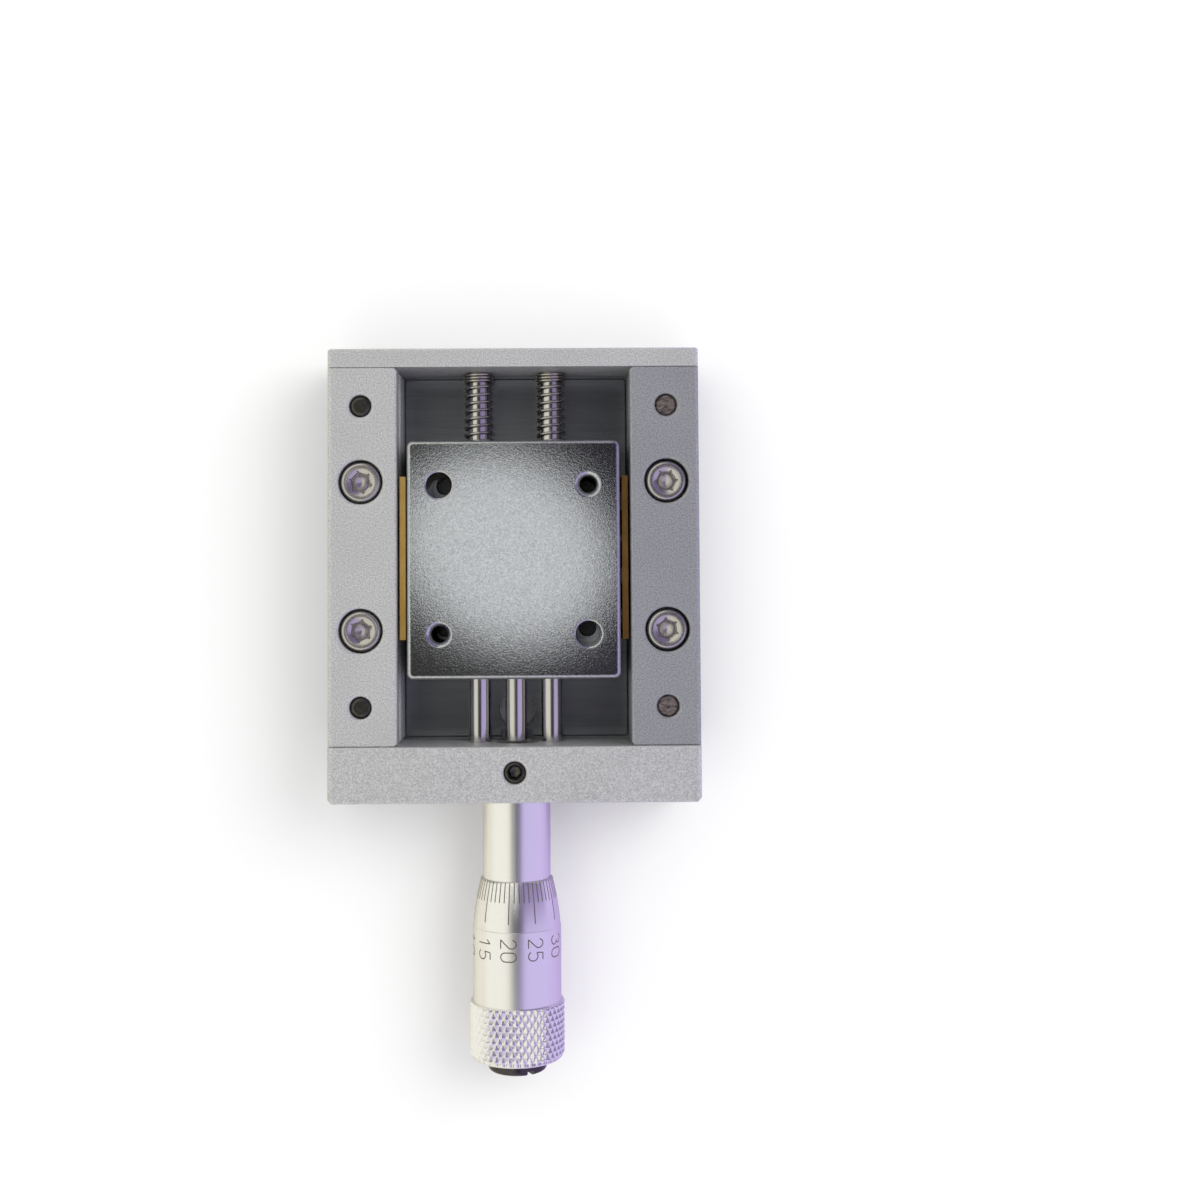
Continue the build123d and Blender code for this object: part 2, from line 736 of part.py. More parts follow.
# End cap that screws into the spindle and holds the thimble on it
cap_outline = (
    (hub_start + thread_fit, 0),
    (hub_start + thread_fit, cap_shank / 2 - thread_fit),
    (knurl_end, cap_shank / 2 - thread_fit),
    (knurl_end, cap_diameter / 2),
    (knurl_end + cap_length, cap_diameter / 2),
    (knurl_end + cap_length, 0),
)
with BuildPart() as thimble_cap:
    add(turned(cap_outline))
    fillet(
        thimble_cap.edges().filter_by(GeomType.CIRCLE).sort_by(Axis.Y)[0],
        cap_fillet,
    )
    with BuildSketch(Plane.XZ.offset(knurl_end + cap_length - front_face)):
        with Locations((0, axis_height)):
            Rectangle(cap_diameter, cap_slot_width, rotation=cap_slot_angle)
    extrude(amount=-cap_slot_depth, mode=Mode.SUBTRACT)
save(thimble_cap, "thimble_cap")


# Clamp screw and its brass pad, which hold the stem in the block
with BuildPart() as clamp_screw:
    with BuildSketch(Plane.XY.offset(clamp_bottom)):
        with Locations((0, clamp_y)):
            Circle(m3 / 2)
    extrude(amount=clamp_screw_length)
    chamfer(clamp_screw.edges().filter_by(GeomType.CIRCLE), edge_break)
    with BuildSketch(Plane.XY.offset(clamp_top)):
        with Locations((0, clamp_y)):
            RegularPolygon(clamp_key / 2, 6, major_radius=False)
    extrude(amount=-clamp_key_depth, mode=Mode.SUBTRACT)
save(clamp_screw, "clamp_screw")

with BuildPart() as clamp_pad:
    with BuildSketch(Plane.XY.offset(axis_height)):
        with Locations((0, clamp_y)):
            Circle(pad_diameter / 2)
    extrude(amount=clamp_bottom - axis_height)
    with BuildSketch(Plane.XZ.offset(half_length)):
        with Locations((0, axis_height)):
            Circle(stem_diameter / 2 + stem_fit)
    extrude(amount=front_block_thickness, mode=Mode.SUBTRACT)
save(clamp_pad, "clamp_pad")
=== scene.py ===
import math

import bpy
import numpy as np
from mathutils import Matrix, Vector


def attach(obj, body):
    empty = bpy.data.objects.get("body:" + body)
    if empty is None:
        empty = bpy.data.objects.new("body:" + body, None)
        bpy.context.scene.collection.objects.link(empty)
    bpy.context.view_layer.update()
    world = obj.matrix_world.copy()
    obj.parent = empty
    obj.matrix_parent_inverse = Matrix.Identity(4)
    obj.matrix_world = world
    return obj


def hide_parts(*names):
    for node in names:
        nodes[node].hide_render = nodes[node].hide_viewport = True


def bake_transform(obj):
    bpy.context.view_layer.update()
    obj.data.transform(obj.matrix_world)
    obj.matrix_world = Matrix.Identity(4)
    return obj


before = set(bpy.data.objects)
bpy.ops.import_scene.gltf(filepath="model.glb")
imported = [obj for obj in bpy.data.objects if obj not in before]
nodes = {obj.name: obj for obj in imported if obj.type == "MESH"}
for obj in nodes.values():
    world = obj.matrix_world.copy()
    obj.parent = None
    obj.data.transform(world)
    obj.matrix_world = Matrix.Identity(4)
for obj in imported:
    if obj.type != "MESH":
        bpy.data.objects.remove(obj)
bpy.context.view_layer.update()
mm = 0.001


# Blasted aluminium body: rails, rear plate and front block.
# Milled from plate, bead blasted to a fine even grain, then clear anodised, which leaves it
# light grey with a soft sheen and tiny bright and dark specks. The right rail has a darker tone,
# which is painted shade.

def linear(code):
    """An sRGB hex colour as linear RGBA: each channel over 255, then the sRGB curve undone."""
    channels = [int(code[i:i + 2], 16) / 255 for i in (1, 3, 5)]
    return [c / 12.92 if c <= 0.04045 else ((c + 0.055) / 1.055) ** 2.4 for c in channels] + [1.0]


def add(tree, kind, inputs=(), **settings):
    """One shader node: its settings, then each input set to a value or linked from an output."""
    made = tree.nodes.new(kind)
    for name, value in settings.items():
        setattr(made, name, value)
    for name, value in dict(inputs).items():
        if isinstance(value, bpy.types.NodeSocket):
            tree.links.new(value, made.inputs[name])
        else:
            made.inputs[name].default_value = value
    return made


def finish(name, inputs):
    """A material of one Principled shader, given the function that returns the shader's inputs."""
    material = bpy.data.materials.new(name)
    material.use_nodes = True
    tree = material.node_tree
    tree.nodes.clear()
    shader = add(tree, "ShaderNodeBsdfPrincipled", inputs(tree))
    add(tree, "ShaderNodeOutputMaterial", {"Surface": shader.outputs[0]})
    return material


def dress(material, *names):
    """Puts a material on CAD nodes, in place of their plain one."""
    for name in names:
        for place in nodes[name].material_slots:
            place.material = material


blast_grain = 0.2 * mm
cloud_size = 9 * mm
edge_round = 0.35 * mm
edge_samples = 8


def blasted_surface(tree, dark="#A9ABAA", light="#DEDFDE"):
    """Bead blasting: grain of one size in the height and the tone, a faint cloud of wear, and
    edges that shade as if the blast had rounded them."""
    place = add(tree, "ShaderNodeTexCoord").outputs["Object"]
    grain = add(tree, "ShaderNodeTexNoise", {"Vector": place, "Scale": 1 / blast_grain,
                                             "Detail": 2.0, "Roughness": 0.65})
    cloud = add(tree, "ShaderNodeTexNoise", {"Vector": place, "Scale": 1 / cloud_size, "Detail": 3.0})
    tone = add(tree, "ShaderNodeMapRange", {"Value": grain.outputs[0], "From Min": 0.3,
                                            "From Max": 0.7})
    grey = add(tree, "ShaderNodeMix", {0: tone.outputs[0], 6: linear(dark), 7: linear(light)},
               data_type="RGBA")
    worn = add(tree, "ShaderNodeMapRange", {"Value": cloud.outputs[0], "From Min": 0.35,
                                            "From Max": 0.65, "To Min": 0.4, "To Max": 0.5})
    edge = add(tree, "ShaderNodeBevel", {"Radius": edge_round}, samples=edge_samples)
    bump = add(tree, "ShaderNodeBump", {"Height": grain.outputs[0], "Strength": 0.4,
                                        "Distance": 0.05 * mm, "Normal": edge.outputs[0]})
    return {"Base Color": grey.outputs[2], "Metallic": 0.5, "Roughness": worn.outputs[0],
            "Normal": bump.outputs[0]}


def darker_blasted_surface(tree):
    """The same blast in a darker tone, which is painted shade on the right rail."""
    return blasted_surface(tree, "#818387", "#B2B4B8")


blasted = finish("bead_blasted_anodised_aluminium", blasted_surface)
dress(blasted, "left_rail", "rear_plate", "front_block")
# The right rail's darker tone is painted shade.
dress(finish("blasted_aluminium_painted_shade", darker_blasted_surface), "right_rail")


# Carriage: the same blasted and anodised aluminium, but its top was lapped before the blast, so
# it shines more. It mirrors the lamp as a bright field that turns dark and grainy at its edges.

def lapped_surface(tree):
    """A light blast over a lapped face: the same grain, shallower, with a tighter gloss."""
    place = add(tree, "ShaderNodeTexCoord").outputs["Object"]
    grain = add(tree, "ShaderNodeTexNoise", {"Vector": place, "Scale": 1 / blast_grain,
                                             "Detail": 2.0, "Roughness": 0.65})
    tone = add(tree, "ShaderNodeMapRange", {"Value": grain.outputs[0], "From Min": 0.3,
                                            "From Max": 0.7})
    grey = add(tree, "ShaderNodeMix", {0: tone.outputs[0], 6: linear("#A6A9AB"),
                                       7: linear("#D3D6D8")}, data_type="RGBA")
    edge = add(tree, "ShaderNodeBevel", {"Radius": edge_round}, samples=edge_samples)
    bump = add(tree, "ShaderNodeBump", {"Height": grain.outputs[0], "Strength": 0.2,
                                        "Distance": 0.03 * mm, "Normal": edge.outputs[0]})
    return {"Base Color": grey.outputs[2], "Metallic": 1.0, "Roughness": 0.09,
            "Normal": bump.outputs[0]}


dress(finish("lapped_anodised_aluminium", lapped_surface), "carriage")


# Base plate: aluminium too, but left as the cutter made it before anodising.
# Its raised floor shows fine straight feed lines and mirrors the rail walls more clearly. Its dark
# grey tone is painted shade from the deep well between the rails.

feed_line = 0.22 * mm


def milled_surface(tree):
    """Feed lines of a cutter across the plate: noise drawn out along X, over a dark grey that is
    painted shade of the well.
    """
    place = add(tree, "ShaderNodeTexCoord").outputs["Object"]
    drawn = add(tree, "ShaderNodeMapping", {"Vector": place, "Scale": (0.03, 1.0, 1.0)})
    lines = add(tree, "ShaderNodeTexNoise", {"Vector": drawn.outputs[0], "Scale": 1 / feed_line,
                                             "Detail": 2.0})
    grey = add(tree, "ShaderNodeMix", {0: lines.outputs[0], 6: linear("#6C7073"),
                                       7: linear("#8E9192")}, data_type="RGBA")
    bump = add(tree, "ShaderNodeBump", {"Height": lines.outputs[0], "Strength": 0.12,
                                        "Distance": 0.02 * mm})
    return {"Base Color": grey.outputs[2], "Metallic": 0.95, "Roughness": 0.24,
            "Normal": bump.outputs[0]}


# The dark grey of this finish is painted shade. The tapped threads use it too.
milled_and_shaded = finish("milled_aluminium_with_painted_shade", milled_surface)
dress(milled_and_shaded, "base_plate")


# Threads in the two tapped holes of the carriage: M3, 0.5 mm pitch, cut in the same aluminium.
# Only their crests stand inside the drilled wall, which keeps its size.

thread_pitch = 0.5
tap_radius = 1.25
thread_rise = 0.13
thread_columns = 64
thread_bottom, thread_top = 5.1, 15.05
tap_places = {"rear": (10.0, 9.5), "front": (-10.0, -10.5)}


def ring_faces(rows, columns, closed_rows=False):
    """Quads of a grid whose columns close into a ring, and whose rows close too if asked."""
    count = rows if closed_rows else rows - 1
    row, column = np.meshgrid(np.arange(count), np.arange(columns), indexing="ij")
    under, beside = (row + 1) % rows, (column + 1) % columns
    corners = (row * columns + column, under * columns + column,
               under * columns + beside, row * columns + beside)
    return np.stack(corners, -1).reshape(-1, 4).tolist()


def wave(x):
    """A triangle wave of period 1 between 0 at whole numbers and 1 halfway."""
    return 1 - np.abs(2 * (x - np.floor(x)) - 1)


def make_piece(name, points, faces, material, body, smooth=40):
    """A mesh object in millimetre points, with edges sharper than smooth degrees kept crisp."""
    mesh = bpy.data.meshes.new(name)
    mesh.from_pydata((np.reshape(points, (-1, 3)) * mm).tolist(), [], faces)
    mesh.materials.append(material)
    mesh.shade_smooth()
    mesh.set_sharp_from_angle(angle=math.radians(smooth))
    made = bpy.data.objects.new(name, mesh)
    bpy.context.scene.collection.objects.link(made)
    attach(made, body)
    return made


def tap_thread(centre_x, centre_y):
    """A thin tube in a drilled wall: plain outside, and inside a helical ridge, whose height
    is the triangle wave of height over pitch less angle over a full turn."""
    angle = np.linspace(0, 2 * np.pi, thread_columns, endpoint=False)
    steps = np.linspace(thread_bottom, thread_top, int((thread_top - thread_bottom) / thread_pitch * 8))
    ridge = wave(steps[:, None] / thread_pitch - angle / (2 * np.pi))
    heights = np.concatenate((steps, [thread_top, thread_bottom]))[:, None] * np.ones(thread_columns)
    outside = np.full((2, thread_columns), tap_radius - 0.004)
    radii = np.vstack((tap_radius - 0.02 - thread_rise * ridge, outside))
    return np.stack((centre_x + radii * np.cos(angle), centre_y + radii * np.sin(angle), heights), -1)


for label, (x, y) in tap_places.items():
    points = tap_thread(x, y)
    faces = [face[::-1] for face in ring_faces(len(points), thread_columns, closed_rows=True)]
    make_piece(f"carriage_thread_{label}", points, faces, milled_and_shaded, "carriage")


# Roller cages and clamp pad: rolled brass strip, left bare, with lengthwise scratches and a warm
# tarnish, which is deeper on the right cage.

roll_line = 0.12 * mm
tarnish_size = 3 * mm


def rolled_surface(tree, dark="#D8AE52", light="#FFE6A0", tarnish="#D6A650"):
    """Rolled strip: noise drawn out along Y in tone and height, over patches of tarnish."""
    place = add(tree, "ShaderNodeTexCoord").outputs["Object"]
    drawn = add(tree, "ShaderNodeMapping", {"Vector": place, "Scale": (1.0, 0.04, 1.0)})
    lines = add(tree, "ShaderNodeTexNoise", {"Vector": drawn.outputs[0], "Scale": 1 / roll_line,
                                             "Detail": 2.0})
    patch = add(tree, "ShaderNodeTexNoise", {"Vector": place, "Scale": 1 / tarnish_size, "Detail": 4.0})
    fresh = add(tree, "ShaderNodeMix", {0: lines.outputs[0], 6: linear(dark), 7: linear(light)},
                data_type="RGBA")
    aged = add(tree, "ShaderNodeMix", {0: patch.outputs[0], 6: fresh.outputs[2], 7: linear(tarnish)},
               data_type="RGBA")
    bump = add(tree, "ShaderNodeBump", {"Height": lines.outputs[0], "Strength": 0.2,
                                        "Distance": 0.02 * mm})
    return {"Base Color": aged.outputs[2], "Metallic": 1.0, "Roughness": 0.28,
            "Normal": bump.outputs[0]}


def tarnished_surface(tree):
    """The same strip, browner from handling."""
    return rolled_surface(tree, "#8F6D3A", "#C79E5C", "#7C5A30")


dress(finish("rolled_brass", rolled_surface), "left_cage", "clamp_pad")
dress(finish("tarnished_brass", tarnished_surface), "right_cage")


# Rollers, guide rods and spindle: hardened steel, ground round and lapped to a clear shine.
# Grinding leaves hair lines round each one, too fine to see except as a slight blur.

grind_line = 0.05 * mm


def ground_surface(tree):
    """Ground steel: close noise in the height, which spreads the reflections a little."""
    place = add(tree, "ShaderNodeTexCoord").outputs["Object"]
    lines = add(tree, "ShaderNodeTexNoise", {"Vector": place, "Scale": 1 / grind_line, "Detail": 1.0})
    rough = add(tree, "ShaderNodeMapRange", {"Value": lines.outputs[0], "To Min": 0.1, "To Max": 0.2})
    bump = add(tree, "ShaderNodeBump", {"Height": lines.outputs[0], "Strength": 0.06,
                                        "Distance": 0.01 * mm})
    return {"Base Color": linear("#C9C8C4"), "Metallic": 1.0, "Roughness": rough.outputs[0],
            "Normal": bump.outputs[0]}


ground = finish("ground_hardened_steel", ground_surface)
dress(ground, "left_guide_rod", "right_guide_rod", "spindle", "spindle_anvil")
dress(ground, *[f"{side}_roller_{i}" for side in ("left", "right") for i in (1, 2, 3, 4)])


# Return springs: bright drawn wire, wound over the rods with closed coils at both ends.
# The rear coils stand on the rear plate, and each spring is drawn in one fixed pose.

wire = 0.4
wire_columns = 12
wire_rows = 420
wire_patch = 0.6 * mm
coil_radius = 1.9
coil_pitch = 1.07
closed_pitch = 0.41
rear_turns = 2.5
front_turns = 1.5
spring_rear = 25.28
spring_front = 10.72
rod_height = 7.75


def wire_surface(tree):
    """Drawn wire: a clear steel with a little tone from the drawing die."""
    place = add(tree, "ShaderNodeTexCoord").outputs["Object"]
    tone = add(tree, "ShaderNodeTexNoise", {"Vector": place, "Scale": 1 / wire_patch, "Detail": 2.0})
    grey = add(tree, "ShaderNodeMix", {0: tone.outputs[0], 6: linear("#A19C92"),
                                       7: linear("#D3CFC6")}, data_type="RGBA")
    return {"Base Color": grey.outputs[2], "Metallic": 1.0, "Roughness": 0.22}


spring_wire = finish("bright_spring_wire", wire_surface)


def spring_points(centre_x):
    """Round wire along a helix: the distance from the rear end grows by the closed pitch for each
    end turn and by the open pitch between, and a circle of the wire's size is carried along."""
    closed = (rear_turns + front_turns) * closed_pitch
    open_turns = (spring_rear - spring_front - closed) / coil_pitch
    turn = np.linspace(0, rear_turns + open_turns + front_turns, wire_rows)
    middle = np.clip(turn - rear_turns, 0, open_turns)
    along = middle * coil_pitch + (turn - middle) * closed_pitch
    angle = 2 * np.pi * turn
    outward = np.stack((np.cos(angle), np.zeros_like(angle), np.sin(angle)), -1)
    line = np.array([centre_x, spring_rear, rod_height]) + coil_radius * outward
    line[:, 1] -= along
    ahead = np.gradient(line, axis=0)
    ahead /= np.linalg.norm(ahead, axis=1)[:, None]
    beside = np.cross(ahead, outward)
    around = np.linspace(0, 2 * np.pi, wire_columns, endpoint=False)[:, None]
    circle = np.cos(around) * outward[:, None] + np.sin(around) * beside[:, None]
    return line[:, None] + wire / 2 * circle


last = wire_rows * wire_columns - 1
spring_faces = ring_faces(wire_rows, wire_columns)
spring_faces += [list(range(wire_columns)), list(range(last, last - wire_columns, -1))]
for side, x in (("left", -5.0), ("right", 5.0)):
    points = spring_points(x)
    mesh = bpy.data.meshes.new(f"{side}_spring_coil")
    mesh.from_pydata((points.reshape(-1, 3) * mm).tolist(), [], spring_faces)
    mesh.materials.append(spring_wire)
    mesh.shade_smooth()
    coil = bpy.data.objects.new(f"{side}_spring_coil", mesh)
    bpy.context.scene.collection.objects.link(coil)
    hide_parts(f"{side}_spring")
    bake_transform(coil)


# Socket screws: M3 cap screws through the rails and the front block, and countersunk ones in the
# rear plate, stainless, turned and tumbled bright. Each has a broached hexagon socket with a
# drill point under it, and the cap screws have a knurled head.

head_height = 3.0
head_knurls = 40
head_knurl_depth = 0.07
screw_columns = 240
knock_size = 0.25 * mm
screw_x = 20.6


def steel_surface(tree):
    """Tumbled stainless: fine turned rings are gone, and small knocks vary the gloss."""
    place = add(tree, "ShaderNodeTexCoord").outputs["Object"]
    knocks = add(tree, "ShaderNodeTexNoise", {"Vector": place, "Scale": 1 / knock_size, "Detail": 3.0})
    rough = add(tree, "ShaderNodeMapRange", {"Value": knocks.outputs[0], "To Min": 0.16,
                                             "To Max": 0.36})
    bump = add(tree, "ShaderNodeBump", {"Height": knocks.outputs[0], "Strength": 0.1,
                                        "Distance": 0.02 * mm})
    return {"Base Color": linear("#BFBDB8"), "Metallic": 1.0, "Roughness": rough.outputs[0],
            "Normal": bump.outputs[0]}


bright_steel = finish("tumbled_stainless_steel", steel_surface)


def socket_screw(rings, knurled=()):
    """Rings of a screw about Z, given as (height, size, hexagon share). A ring's radius is its
    size, times 1 over the cosine of the angle from the nearest flat for its share of hexagon.
    Knurled rings lose a little in a triangle wave round the head."""
    angle = np.linspace(0, 2 * np.pi, screw_columns, endpoint=False)
    from_flat = (angle + np.pi / 6) % (np.pi / 3) - np.pi / 6
    height, size, share = (np.array(column)[:, None] for column in zip(*rings))
    radius = size * (1 - share + share / np.cos(from_flat))
    for row in knurled:
        radius[row] -= head_knurl_depth * wave(angle * head_knurls / (2 * np.pi))
    return np.stack((radius * np.cos(angle), radius * np.sin(angle), height + 0 * angle), -1)


def screw_faces(points):
    """The grid of a screw's rings, closed by a flat end at the shank and a point in the socket."""
    last = len(points) * screw_columns
    ends = [list(range(screw_columns - 1, -1, -1)), list(range(last - screw_columns, last))]
    return [face[::-1] for face in ring_faces(len(points), screw_columns)] + ends


def cap_screw(length):
    """An M3 cap screw with the top of its head at height 0 and its tip at minus length."""
    return socket_screw([
        (-length, 1.1, 0), (-length + 0.35, 1.48, 0), (-head_height, 1.48, 0),
        (-head_height, 2.55, 0), (-head_height + 0.15, 2.74, 0), (-0.55, 2.74, 0),
        (-0.38, 2.7, 0), (-0.16, 2.6, 0), (-0.04, 2.46, 0), (0, 2.3, 0),
        (0, 1.72, 0), (-0.05, 1.64, 0), (-0.3, 1.27, 0.9), (-0.4, 1.25, 1), (-1.42, 1.25, 1),
        (-1.5, 1.2, 0.8), (-1.5, 0.98, 0), (-1.56, 0.92, 0), (-1.95, 0.03, 0),
    ], knurled=(4, 5))


def place_points(points, where, turn):
    """Turns points by a 3 by 3 matrix about the origin, then carries them to where."""
    return points @ np.array(turn, float).T + np.array(where)


def spun(degrees):
    """A turn about Z by an angle."""
    c, s = math.cos(math.radians(degrees)), math.sin(math.radians(degrees))
    return np.array([[c, -s, 0], [s, c, 0], [0, 0, 1]])


def screw_set(name, screw, places, facing, node):
    """One piece of equal screws, each spun by its own angle, faced the same way and put in place."""
    groups = [place_points(screw, where, facing @ spun(turn)).reshape(-1, 3) for where, turn in places]
    shift = screw.shape[0] * screw.shape[1]
    faces = [[corner + i * shift for corner in face] for i in range(len(places))
             for face in screw_faces(screw)]
    made = make_piece(name, np.concatenate(groups), faces, bright_steel, "base")
    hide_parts(node)


upward = np.eye(3)
screw_set("rail_cap_screws", cap_screw(13.0),
          [((-screw_x, 10, 14.6), 14), ((-screw_x, -10, 14.6), 52),
           ((screw_x, 10, 14.6), 33), ((screw_x, -10, 14.6), 8)], upward, "rail_screws")

frontward = np.array([[1, 0, 0], [0, 0, -1], [0, 1, 0]])
screw_set("front_block_cap_screws", cap_screw(11.0),
          [((-screw_x, -32.9, 9.45), 21), ((screw_x, -32.9, 9.45), 47)],
          frontward, "front_block_screws")

rearward = np.array([[1, 0, 0], [0, 0, 1], [0, -1, 0]])
plate_screw = socket_screw([
    (-6.0, 0.9, 0), (-5.7, 1.23, 0), (-1.12, 1.23, 0), (-0.12, 2.22, 0), (-0.02, 2.24, 0),
    (0, 2.2, 0), (0, 1.0, 0), (-0.04, 0.95, 0), (-0.18, 0.77, 0.9), (-0.25, 0.75, 1),
    (-0.95, 0.75, 1), (-1.0, 0.7, 0.8), (-1.0, 0.55, 0), (-1.25, 0.03, 0),
])
screw_set("rear_plate_countersunk_screws", plate_screw,
          [((-screw_x, 28.0, 6.65), 12), ((-screw_x, 28.0, 12.25), 40),
           ((screw_x, 28.0, 6.65), 29), ((screw_x, 28.0, 12.25), 3)], rearward, "rear_plate_screws")


# Dowel pins: hardened steel. The left pair is domed and oil blackened, and the right pair was
# cut to length after it was pressed in, so its ends are flat, grey brown and rough.

film_patch = 0.5 * mm
saw_ridge = 0.4 * mm


def blackened_surface(tree):
    """Oil blackened steel: near black, with the grey of the steel where the film is thin."""
    place = add(tree, "ShaderNodeTexCoord").outputs["Object"]
    film = add(tree, "ShaderNodeTexNoise", {"Vector": place, "Scale": 1 / film_patch, "Detail": 3.0})
    tone = add(tree, "ShaderNodeMix", {0: film.outputs[0], 6: linear("#2E2E2C"),
                                       7: linear("#6E6C66")}, data_type="RGBA")
    bump = add(tree, "ShaderNodeBump", {"Height": film.outputs[0], "Strength": 0.15,
                                        "Distance": 0.03 * mm})
    return {"Base Color": tone.outputs[2], "Metallic": 1.0, "Roughness": 0.3,
            "Normal": bump.outputs[0]}


def cut_surface(tree):
    """A sawn pin end: ragged ridges of the cut, with brown heat colour between them."""
    place = add(tree, "ShaderNodeTexCoord").outputs["Object"]
    drawn = add(tree, "ShaderNodeMapping", {"Vector": place, "Scale": (0.4, 1.0, 1.0),
                                            "Rotation": (0, 0, math.radians(35))})
    ridge = add(tree, "ShaderNodeTexNoise", {"Vector": drawn.outputs[0], "Scale": 1 / saw_ridge,
                                             "Detail": 4.0, "Roughness": 0.7})
    spread = add(tree, "ShaderNodeMapRange", {"Value": ridge.outputs[0], "From Min": 0.35,
                                              "From Max": 0.65})
    tone = add(tree, "ShaderNodeMix", {0: spread.outputs[0], 6: linear("#4A413A"),
                                       7: linear("#A39A92")}, data_type="RGBA")
    bump = add(tree, "ShaderNodeBump", {"Height": ridge.outputs[0], "Strength": 0.7,
                                        "Distance": 0.12 * mm})
    return {"Base Color": tone.outputs[2], "Metallic": 0.9, "Roughness": 0.45,
            "Normal": bump.outputs[0]}


blackened = finish("oil_blackened_steel", blackened_surface)
dress(blackened, "left_dowel_pins")
dress(finish("sawn_pin_steel", cut_surface), "right_dowel_pins")


# Clamp screw: a blackened M3 set screw with a 1.5 mm socket. It stands just below the block's
# top face, over the brass pad that it presses on the micrometer's stem.

set_screw = socket_screw([
    (-3.0, 1.0, 0), (-2.8, 1.46, 0), (-0.2, 1.46, 0), (-0.06, 1.36, 0), (0, 1.22, 0),
    (0, 0.98, 0), (-0.05, 0.93, 0), (-0.2, 0.78, 0.9), (-0.28, 0.75, 1), (-1.24, 0.75, 1),
    (-1.3, 0.7, 0.8), (-1.3, 0.55, 0), (-1.55, 0.03, 0),
])
clamp = make_piece("clamp_set_screw", place_points(set_screw, (0, -29, 14.8), spun(18)),
                   screw_faces(set_screw), blackened, "base")
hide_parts("clamp_screw")


# Micrometer sleeve, barrel and thimble: steel, turned, satin blasted and hard chromed.
# The chrome is a pale silver that takes the tint of the room's walls along its sides.

satin_grain = 0.09 * mm


def chrome_surface(tree):
    """Satin chrome: a very fine blast under the plating, so highlights spread along the barrel."""
    place = add(tree, "ShaderNodeTexCoord").outputs["Object"]
    grain = add(tree, "ShaderNodeTexNoise", {"Vector": place, "Scale": 1 / satin_grain, "Detail": 1.0})
    tone = add(tree, "ShaderNodeMix", {0: grain.outputs[0], 6: linear("#E2E2E1"),
                                       7: linear("#FAFAF8")}, data_type="RGBA")
    bump = add(tree, "ShaderNodeBump", {"Height": grain.outputs[0], "Strength": 0.25,
                                        "Distance": 0.02 * mm})
    return {"Base Color": tone.outputs[2], "Metallic": 1.0, "Roughness": 0.26,
            "Normal": bump.outputs[0]}


chrome = finish("satin_hard_chrome", chrome_surface)
dress(chrome, "micrometer_barrel", "graduated_sleeve")
dress(ground, "adjusting_nut")


# Thimble: one turned tube. A tapered nose carries 50 divisions of 0.01 mm, then a plain barrel
# with the numbers, then a grip that was rolled between two crossed knurling wheels.

front_face = -33.0
lip_at, nose_at, knurl_at, knurl_stop = 11.0, 17.5, 27.7, 35.4
lip_radius, barrel_radius, grip_radius = 4.88, 6.04, 6.5
nose_bulge = 0.15
nose_step = 0.07
lip_chamfer = 0.16
bore_radius, bore_stop, seat_radius = 4.7, 31.0, 2.12
knurl_count = 42
knurl_length = 1.65
knurl_depth = 0.34
grip_round, grip_drop = 0.4, 0.12
thimble_columns = 420


def nose_radius(along):
    """Radius of the nose and barrel at a distance from the block: a straight taper from the lip
    to just under the barrel, with a parabola of the bulge's height on it, then the barrel."""
    share = (np.asarray(along) - lip_at) / (nose_at - lip_at)
    taper = lip_radius + (barrel_radius - nose_step - lip_radius) * share
    return np.where(share > 1, barrel_radius, taper + 4 * nose_bulge * share * (1 - share))


def on_head(along, angle, radius):
    """A point on the micrometer head: distance from the block, angle from the top to the right."""
    along, angle, radius = np.broadcast_arrays(along, angle, radius)
    height = rod_height + radius * np.cos(angle)
    return np.stack((radius * np.sin(angle), front_face - along, height), -1)


def thimble_points():
    """The thimble's wall as a closed profile turned about the axis. On the grip the radius drops
    by the deeper of two crossed rows of V grooves, each a triangle wave of angle plus or minus
    distance, and rounds off before the chamfer at the cap."""
    nose = np.linspace(lip_at, nose_at, 15)
    grip = np.linspace(knurl_at + 0.12, knurl_stop - 0.55, 84)
    nose[0] += lip_chamfer
    plain_profile = [(lip_at, bore_radius), (lip_at, 4.73), *zip(nose, nose_radius(nose)),
                     (nose_at + 0.04, barrel_radius), (knurl_at - 0.02, barrel_radius),
                     (knurl_at, barrel_radius + 0.02), (knurl_at, grip_radius - 0.14)]
    after = [(knurl_stop - 0.25, grip_radius - 0.3), (knurl_stop - 0.04, 5.94), (knurl_stop, 5.9),
             (knurl_stop, seat_radius), (bore_stop + 0.02, seat_radius), (bore_stop, bore_radius)]
    along = np.array([p[0] for p in plain_profile] + list(grip) + [p[0] for p in after])
    radius = np.array([p[1] for p in plain_profile] + [grip_radius] * len(grip)
                      + [p[1] for p in after])
    angle = np.linspace(0, 2 * np.pi, thimble_columns, endpoint=False)
    first = len(plain_profile)
    rows = slice(first, first + len(grip))
    turns = angle * knurl_count / (2 * np.pi)
    steps = (grip / knurl_length)[:, None]
    deepest = np.maximum(wave(turns + steps), wave(turns - steps))
    wall = radius[:, None] * np.ones(thimble_columns)
    wall[rows] -= knurl_depth * np.clip((deepest - 0.08) / 0.92, 0, 1)
    fade = np.clip((grip - (grip[-1] - grip_round)) / grip_round, 0, 1)[:, None]
    wall[rows] -= fade ** 2 * grip_drop
    return on_head(along[:, None], angle, wall)


points = thimble_points()
faces = ring_faces(len(points), thimble_columns, closed_rows=True)
thimble = make_piece("knurled_thimble", points, faces, chrome, "thimble", smooth=38)
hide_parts("thimble")


# Scales: fine lines and numbers, engraved by a pantograph and filled with dark brown paint.
# The thimble has 50 lines, every fifth one long and numbered, and the numbers lie along the
# barrel. The sleeve has a line for each half millimetre, at its lower right side.

